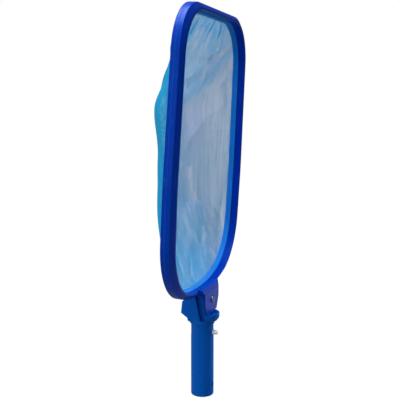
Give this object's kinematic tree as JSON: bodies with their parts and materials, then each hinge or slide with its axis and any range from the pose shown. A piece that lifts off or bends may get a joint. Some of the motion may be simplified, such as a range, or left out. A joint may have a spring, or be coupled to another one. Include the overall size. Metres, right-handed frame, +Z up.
{
  "type": "leaf skimmer net",
  "caption": "Hand skimmer: a moulded frame grips a shallow mesh bag, on a hollow handle with a spring button that locks into a telescopic pole.",
  "frame": {"origin": "on the handle's axis, at the stop that the pole's end meets", "axes": "+Z up the handle's axis towards the net, -Y out of the net's open front, +X to the right for someone looking into the open front"},
  "size_m": [0.2614, 0.0678, 0.4749],
  "materials": {
    "frame_plastic": "smooth moulded, satin gloss",
    "handle_plastic": "smooth moulded, satin",
    "mesh": "fine open weave",
    "binding_tape": "woven tape",
    "cord": "braided cord",
    "screw_steel": "plated",
    "spring_steel": "rolled strip",
    "button_plastic": "smooth"
  },
  "bodies": {
    "skimmer": {"front_frame": "frame_plastic", "rear_frame": "frame_plastic", "net_bag": "mesh", "net_binding": "binding_tape", "net_cord": "cord", "handle": "handle_plastic", "neck_screw": "screw_steel", "clip_spring": "spring_steel"},
    "button": {"snap_button": "button_plastic"}
  },
  "joints": [
    {"name": "button_press", "type": "slide", "parent": "skimmer", "child": "button", "axis": [0, 1, 0], "range_m": [0, 0.0065], "stiffness_N_per_m": 900, "deforming": ["clip_spring"]}
  ]
}
